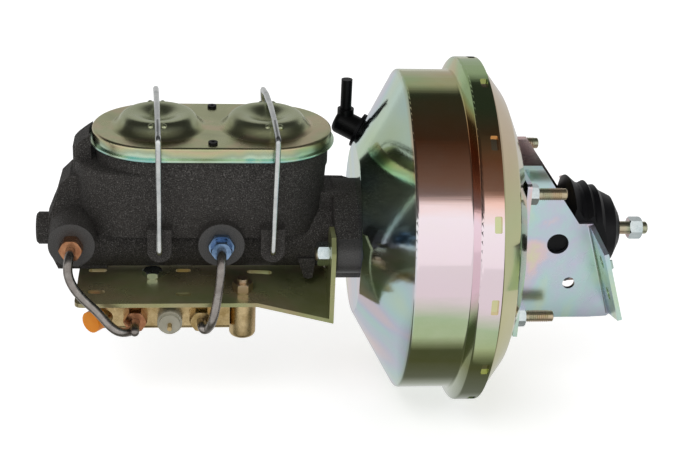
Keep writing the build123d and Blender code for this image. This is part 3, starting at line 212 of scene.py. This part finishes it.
def cast_iron():
    """Sand-cast iron, with its machined boss faces."""
    s = Shader("cast_iron")
    grain = s.noise(1250.0, detail=6.0, rough=0.7)
    lumps = s.noise(240.0, detail=4.0, rough=0.6)
    patches = s.span(s.noise(22.0, detail=3.0, rough=0.6), 0.3, 0.7)
    sand = s.ramp(grain, [(0.34, (0.012, 0.011, 0.010)), (0.50, (0.044, 0.041, 0.038)),
                          (0.60, (0.125, 0.118, 0.112)), (0.72, (0.44, 0.42, 0.40))])
    sand = s.mix(s.maths("MULTIPLY", patches, 0.35), sand, (0.064, 0.057, 0.050))
    cut = s.maths("GREATER_THAN", s.maths("ABSOLUTE", s.axis("Y")), cut_face)
    rings = s.noise((1500.0, 1.0, 1500.0), detail=2.0, rough=0.5)
    turned = s.ramp(rings, [(0.3, (0.045, 0.045, 0.045)), (0.7, (0.11, 0.105, 0.10))])
    height = s.maths("ADD", grain, s.maths("MULTIPLY", lumps, 1.4))
    height = s.maths("MULTIPLY", height, s.maths("SUBTRACT", 1.0, s.maths("MULTIPLY", cut, 0.85)))
    s.bump(height, 0.6, cast_grain)
    rough = s.maths("SUBTRACT", s.span(grain, 0.3, 0.8, 0.82, 0.55), s.maths("MULTIPLY", cut, 0.25))
    return s.set(Base_Color=s.mix(cut, sand, turned), Metallic=0.4, Roughness=rough)


def bright(name, low, high, rough):
    """A bright metal with faint drawing marks and stains."""
    s = Shader(name)
    stain = s.noise(90.0, detail=4.0, rough=0.65)
    marks = s.noise((600.0, 600.0, 600.0), detail=2.0, rough=0.5)
    s.bump(marks, 0.08, fine_marks)
    colour = s.mix(s.span(stain, 0.32, 0.68), low, high)
    return s.set(Base_Color=colour, Metallic=1.0, Roughness=s.span(marks, 0.25, 0.75, *rough))


def soft(name, low, high, rough, grain=500.0, strength=0.1, specular=0.5):
    """Rubber or plastic with a fine skin."""
    s = Shader(name)
    tone = s.span(s.noise(40.0, detail=4.0, rough=0.6), 0.3, 0.7)
    s.bump(s.noise(grain, detail=3.0, rough=0.6), strength, fine_marks)
    return s.set(Base_Color=s.mix(tone, low, high), Roughness=s.span(tone, 0.0, 1.0, *rough),
                 Specular_IOR_Level=specular)


# Materials

pale_stops = [(0.26, (0.62, 0.78, 0.50)), (0.38, (0.66, 0.84, 0.66)), (0.47, (0.58, 0.80, 0.80)),
              (0.55, (0.66, 0.70, 0.84)), (0.62, (0.88, 0.70, 0.72)), (0.70, (0.84, 0.82, 0.54)),
              (0.80, (0.62, 0.80, 0.60))]
# Drum: passivation tints by height, with painted reflections: a dark olive band of painted shade low down, a
# bright pink band at mid height and a brown band above it
drum_tints_and_painted_reflections = [(0.02, (0.74, 0.82, 0.72)), (0.16, (0.72, 0.80, 0.62)), (0.30, (0.42, 0.46, 0.18)),
              (0.44, (0.46, 0.58, 0.36)), (0.52, (0.90, 0.74, 0.80)), (0.70, (0.94, 0.82, 0.87)),
              (0.77, (0.96, 0.52, 0.36)), (0.85, (0.90, 0.36, 0.16)), (0.95, (0.40, 0.56, 0.26))]
# Rear shell: passivation tints by height, with a painted reflection band, brightest at mid height
rear_tints_and_painted_band = [(0.10, (0.52, 0.56, 0.28)), (0.30, (0.60, 0.58, 0.26)), (0.50, (0.76, 0.72, 0.40)),
              (0.68, (0.62, 0.66, 0.36)), (0.85, (0.66, 0.52, 0.34))]
plum_stops = [(0.26, (0.80, 0.54, 0.54)), (0.42, (0.90, 0.56, 0.56)), (0.56, (0.66, 0.58, 0.54)),
              (0.68, (0.80, 0.72, 0.54)), (0.80, (0.86, 0.60, 0.64))]
# Lid: passivation tints by height, with a painted highlight: a pale cyan-green line along the lip
lid_tints_and_painted_lip_highlight = [(0.00, (0.34, 0.66, 0.62)), (0.13, (0.62, 0.80, 0.60)), (0.24, (0.44, 0.54, 0.38)),
             (0.38, (0.58, 0.58, 0.34)), (0.48, (0.64, 0.54, 0.34)), (0.58, (0.52, 0.54, 0.30)),
             (0.74, (0.44, 0.46, 0.26)), (0.88, (0.50, 0.54, 0.34))]
gold_stops = [(0.24, (0.50, 0.44, 0.24)), (0.40, (0.62, 0.54, 0.34)), (0.52, (0.66, 0.50, 0.36)),
              (0.64, (0.52, 0.54, 0.38)), (0.78, (0.62, 0.56, 0.36))]
olive_stops = [(0.24, (0.24, 0.27, 0.10)), (0.42, (0.38, 0.40, 0.18)), (0.56, (0.46, 0.38, 0.21)),
               (0.70, (0.30, 0.36, 0.16)), (0.80, (0.46, 0.48, 0.26))]

# Heights that the colours run between as painted reflection bands, and the X where the drum's face turns into
# its side
painted_band_heights = (-0.124, 0.124)
lid_painted_band_heights = (0.0684, 0.0868)
drum_face_edge = -0.083

drum_zinc = passivated("drum_zinc", drum_tints_and_painted_reflections, (3.0, 7.0, 14.0), (0.06, 0.13), painted_band_heights, drift=0.22,
                       wave=0.10, paler=(drum_face_edge, pale_stops), brushed=(14.0, 520.0, 520.0))
rear_zinc = passivated("rear_zinc", rear_tints_and_painted_band, (5.0, 9.0, 9.0), (0.08, 0.16), painted_band_heights, drift=0.3)
pale_zinc = passivated("pale_zinc", pale_stops, (16.0, 16.0, 13.0), (0.20, 0.34), wave=0.08)
plum_zinc = passivated("plum_zinc", plum_stops, (12.0, 12.0, 12.0), (0.20, 0.34), wave=0.08)
lid_zinc = passivated("lid_zinc", lid_tints_and_painted_lip_highlight, (22.0, 22.0, 10.0), (0.20, 0.34), lid_painted_band_heights, drift=0.9,
                      wave=0.06)
olive_zinc = passivated("olive_zinc", olive_stops, (12.0, 14.0, 12.0), (0.22, 0.36), wave=0.08, metal=0.7)
stud_zinc = passivated("stud_zinc", gold_stops, (30.0, 30.0, 30.0), (0.28, 0.42), wave=0.1)
iron = cast_iron()
white_zinc = bright("white_zinc", (0.56, 0.66, 0.68), (0.80, 0.86, 0.86), (0.16, 0.28))
wire_zinc = bright("wire_zinc", (0.56, 0.58, 0.58), (0.80, 0.82, 0.80), (0.16, 0.28))
pipe_steel = bright("pipe_steel", (0.26, 0.23, 0.21), (0.46, 0.43, 0.40), (0.22, 0.36))
bare_steel = bright("bare_steel", (0.42, 0.42, 0.42), (0.60, 0.60, 0.60), (0.25, 0.40))
brass = bright("brass", (0.44, 0.31, 0.13), (0.80, 0.62, 0.34), (0.22, 0.38))
copper = bright("copper_zinc", (0.34, 0.14, 0.07), (0.66, 0.34, 0.18), (0.16, 0.30))
blue = bright("blue_zinc", (0.06, 0.12, 0.22), (0.30, 0.44, 0.66), (0.14, 0.28))
rubber = soft("rubber", (0.003, 0.003, 0.004), (0.007, 0.007, 0.008), (0.34, 0.52), grain=700.0,
              strength=0.15, specular=0.2)
black_nylon = soft("black_nylon", (0.002, 0.002, 0.002), (0.005, 0.005, 0.005), (0.30, 0.44), specular=0.2)
white_nylon = soft("white_nylon", (0.40, 0.38, 0.29), (0.54, 0.52, 0.42), (0.34, 0.5))
orange_plastic = soft("orange_plastic", (0.92, 0.26, 0.01), (1.0, 0.38, 0.04), (0.34, 0.48), specular=0.3)

dress = {
    drum_zinc: ["front_shell"],
    rear_zinc: ["rear_shell"],
    pale_zinc: ["near_bracket"],
    plum_zinc: ["far_bracket"],
    lid_zinc: ["reservoir_lid"],
    olive_zinc: ["valve_bracket"],
    stud_zinc: ["rear_studs", "front_studs", "pushrod", "valve_stud", "valve_stud_nut"],
    iron: ["master_cylinder", "front_end_plug"],
    white_zinc: ["rear_stud_nuts", "jam_nut", "front_stud_nuts", "valve_bolt", "diaphragm_plate"],
    wire_zinc: ["front_bail", "rear_bail"],
    pipe_steel: ["front_pipe", "rear_pipe"],
    bare_steel: ["return_spring", "primary_spring", "secondary_spring", "primary_piston", "secondary_piston",
                 "output_rod", "valve_plunger", "piston_stop", "valve_spool"],
    rubber: ["dust_boot", "diaphragm", "neck_seal", "pilot_seal", "reaction_disc", "primary_cups",
             "secondary_cups", "lid_gasket", "check_grommet", "air_filter", "vent_plugs"],
    brass: ["combination_valve", "valve_end_plug", "switch_pin", "rear_valve_nut"],
    copper: ["front_outlet_nut", "front_valve_nut"],
    blue: ["rear_outlet_nut"],
    white_nylon: ["warning_switch", "neck_bearing"],
    black_nylon: ["check_valve", "valve_hub"],
    orange_plastic: ["port_cap"],
}
for material, names in dress.items():
    for name in names:
        mesh = nodes[name].data
        mesh.materials.clear()
        mesh.materials.append(material)


# Ways to make a piece

def placed(name, data):
    """A new object of the scene."""
    obj = bpy.data.objects.new(name, data)
    scene.collection.objects.link(obj)
    return obj


def new_piece(name, bm, material, body, smooth=True):
    mesh = bpy.data.meshes.new(name)
    bmesh.ops.recalc_face_normals(bm, faces=bm.faces)
    bm.to_mesh(mesh)
    bm.free()
    mesh.materials.append(material)
    if smooth:
        mesh.shade_smooth()
    piece = placed(name, mesh)
    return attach(piece, body)


def lathe(name, profile, material, body):
    """A closed profile of (X, radius) turned about the booster's axis, with its corners kept sharp."""
    steps = 240
    sharp_from = radians(28)
    bm = bmesh.new()
    turns = [2 * pi * k / steps for k in range(steps)]
    rings = [[bm.verts.new((x, radius * cos(turn), radius * sin(turn))) for turn in turns]
             for x, radius in profile]
    for first, second in zip(rings, rings[1:] + rings[:1]):
        for k in range(steps):
            after = (k + 1) % steps
            bm.faces.new((first[k], first[after], second[after], second[k]))
    piece = new_piece(name, bm, material, body)
    piece.data.set_sharp_from_angle(angle=sharp_from)
    return piece


def rounded(points, radius):
    """The points of a line with each inner corner rounded off."""
    steps = 5
    points = [Vector(point) for point in points]
    line = [points[0]]
    for before, corner, after in zip(points, points[1:], points[2:]):
        reach = min(radius, (before - corner).length / 2.1, (after - corner).length / 2.1)
        start = corner + (before - corner).normalized() * reach
        end = corner + (after - corner).normalized() * reach
        for k in range(steps + 1):
            t = k / steps
            line.append(start * (1 - t) ** 2 + corner * 2 * t * (1 - t) + end * t ** 2)
    return line + [points[-1]]


def screw_thread(name, body, places, run, radius, depth):
    """Raised threads along X on round shanks, which fade in and out over one turn at the ends of the run."""
    start, end = run
    pitch = 0.0014
    half_width = 0.42 * pitch
    sunk = 0.00005
    steps = 20
    last_step = (int(abs(end - start) / pitch) - 1) * steps
    bm = bmesh.new()
    for y, z in places:
        last = None
        for k in range(last_step + 1):
            angle = 2 * pi * k / steps
            middle = start + pitch * (0.5 + k / steps)
            crest = depth * min(1.0, k / steps, (last_step - k) / steps)
            ring = []
            for x, out in ((middle - half_width, -sunk), (middle, crest), (middle + half_width, -sunk)):
                reach = radius + out
                ring.append(bm.verts.new((x, y + reach * cos(angle), z + reach * sin(angle))))
            if last:
                for i, following in enumerate((1, 2, 0)):
                    bm.faces.new((last[i], last[following], ring[following], ring[i]))
            else:
                bm.faces.new(ring)
            last = ring
        bm.faces.new(last)
    return new_piece(name, bm, stud_zinc, body, smooth=False)


def live_piece(name, ending, body):
    """A copy of the piece, attached to the body, with the part itself hidden."""
    piece = placed(name + ending, nodes[name].data.copy())
    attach(piece, body)
    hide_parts(name)
    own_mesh(piece)


# Rear shell, with the shorter rim and the longer cone of the photograph

shell_low, shell_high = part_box("rear_shell")
rim_front, rim_back, rim_radius = shell_low.x, -0.0262, shell_high.z
cone_front = Vector((-0.0240, 0.1200))
cone_back = Vector((-0.0096, 0.1012))
back_radius = 0.0780
neck_end, neck_radius = shell_high.x, 0.0253
sheet = 0.0020
cone_sheet = Vector((-0.0018, -0.0016))
back_sheet = 0.0014
bend_radius = 0.0022

outside = rounded([(rim_front, rim_radius), (rim_back, rim_radius), cone_front, cone_back, (0.0, back_radius),
                   (0.0, neck_radius), (neck_end, neck_radius)], bend_radius)
inner_front, inner_back = cone_front + cone_sheet, cone_back + cone_sheet
inside = [(neck_end, neck_radius - sheet), (-sheet, neck_radius - sheet), (-sheet, back_radius - back_sheet),
          inner_back, inner_front, (rim_front, inner_front.y)]
rear = lathe("rear_pressing", [tuple(point) for point in outside + inside], rear_zinc, "booster")
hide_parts("rear_shell")

# Threads on the rear studs and the pedal rod, from just behind the nut to just short of the tip

stud_offset = 0.0475
stud_radius = 0.00397
rod_radius = 0.0045
stud_places = [(y, z) for y in (-stud_offset, stud_offset) for z in (-stud_offset, stud_offset)]
stud_run = (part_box("rear_stud_nuts")[1].x + 0.0005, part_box("rear_studs")[1].x - 0.0008)
rod_run = (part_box("jam_nut")[1].x + 0.0003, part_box("pushrod")[1].x - 0.0006)
screw_thread("rear_stud_threads", "booster", stud_places, stud_run, stud_radius, depth=0.00035)
screw_thread("pedal_rod_threads", "pedal_rod", [(0.0, 0.0)], rod_run, rod_radius, depth=0.0003)

# Springs and boot, as copies attached to their bodies

live_piece("return_spring", "_wire", "booster")
live_piece("primary_spring", "_wire", "secondary")
live_piece("secondary_spring", "_wire", "booster")
live_piece("dust_boot", "_folds", "booster")

# Floor: pale for the camera, and for reflections painted tones, bright with a band of painted shade under the
# part's near side

floor_half = 6.0
floor_clearance = 0.0002
floor_glow = 0.55
floor_near, floor_far = -0.6, 0.4
floor_painted_reflection_tones = [(-0.170, 0.78), (-0.135, (0.13, 0.13, 0.11)), (-0.070, (0.15, 0.15, 0.13)), (-0.030, 0.62)]


def floor_paint():
    s = Shader("floor_paint")
    rays = s.add("ShaderNodeLightPath").outputs
    paint = s.mix(s.noise(3.0, detail=2.0, rough=0.5), (0.82, 0.82, 0.82), (0.84, 0.84, 0.84))
    glow = s.maths("MULTIPLY", rays["Is Camera Ray"], floor_glow)
    s.set(Base_Color=paint, Roughness=0.9, Emission_Color=(1, 1, 1), Emission_Strength=glow)
    # What reflections see: painted tones, with a dark band of painted shade under the part's near side
    painted_reflection = s.add("ShaderNodeEmission")
    stops = [((y - floor_near) / (floor_far - floor_near), tone) for y, tone in floor_painted_reflection_tones]
    s.feed(painted_reflection.inputs["Color"], s.ramp(s.span(s.axis("Y"), floor_near, floor_far), stops))
    choice = s.add("ShaderNodeMixShader")
    for socket, source in zip(choice.inputs, (rays["Is Glossy Ray"], s.bsdf.outputs[0], painted_reflection.outputs[0])):
        s.feed(socket, source)
    s.feed(s.find("OUTPUT_MATERIAL").inputs["Surface"], choice.outputs[0])
    return s.mat


corners = [(x * floor_half, y * floor_half, 0) for x, y in ((-1, -1), (1, -1), (1, 1), (-1, 1))]
floor_mesh = bpy.data.meshes.new("floor")
floor_mesh.from_pydata(corners, [], [(0, 1, 2, 3)])
floor_mesh.materials.append(floor_paint())
floor = placed("floor", floor_mesh)
floor.location.z = cad_box[0][2] - floor_clearance

# World: plain for the camera and as light, and for reflections lit walls in front and behind, with a dark
# ceiling. Its tones go by degrees of climb: 0 is toward the camera, 90 overhead and 180 behind the part.

world_light, world_seen = 0.5, 1.0
wall_tones = [(-180.0, 0.66), (-154.8, 0.66), (-21.6, 0.9), (40.32, 0.95), (46.8, 0.17), (90.0, 0.04),
              (135.0, 0.04), (147.6, 0.5)]

world = bpy.data.worlds.new("studio")
scene.world = world
world.use_nodes = True
sky = Graph(world.node_tree, "Generated")
sky_rays = sky.add("ShaderNodeLightPath").outputs
climb = sky.maths("ARCTAN2", sky.axis("Z"), sky.maths("MULTIPLY", sky.axis("Y"), -1.0))
walls = sky.ramp(sky.span(climb, -pi, pi), [(0.5 + degrees / 360, tone) for degrees, tone in wall_tones])
plain = sky.span(sky_rays["Is Camera Ray"], 0.0, 1.0, world_light, world_seen)
background = sky.find("BACKGROUND")
sky.feed(background.inputs["Color"], (1, 1, 1))
sky.feed(background.inputs["Strength"], sky.mix(sky_rays["Is Glossy Ray"], plain, walls, "FLOAT"))

# Lamps

lamp_target = Vector((-0.1, 0, 0))


def area_light(name, place, width, height, power):
    lamp = bpy.data.lights.new(name, "AREA")
    lamp.shape = "RECTANGLE"
    lamp.size, lamp.size_y, lamp.energy = width, height, power
    holder = placed(name, lamp)
    holder.location = place
    holder.rotation_euler = (lamp_target - Vector(place)).to_track_quat("-Z", "Y").to_euler()
    holder.visible_glossy = False


area_light("key", (-0.7, -1.1, 1.5), 1.0, 0.8, 9)
area_light("fill", (1.2, -0.9, 0.7), 0.8, 0.9, 3)
area_light("back", (0.0, 1.2, 1.2), 1.2, 0.5, 4)

# Camera at the photograph's viewpoint, which was fitted to the circles of the drum

camera_place = Vector((-0.223, -0.9516, 0.4438))
elevation = radians(25.0)
yaw = radians(5.66)
level_ahead = Vector((0, cos(elevation), -sin(elevation)))
level_aside = Vector((1, 0, 0))
upward = Vector((0, sin(elevation), cos(elevation)))
ahead = level_ahead * cos(yaw) + level_aside * sin(yaw)
aside = level_aside * cos(yaw) - level_ahead * sin(yaw)

lens = bpy.data.cameras.new("camera")
lens.sensor_width = 36.0
lens.lens = 77.11
camera = placed("camera", lens)
camera.matrix_world = Matrix.Translation(camera_place) @ Matrix((aside, upward, -ahead)).transposed().to_4x4()
scene.camera = camera
scene.view_settings.view_transform = "Standard"
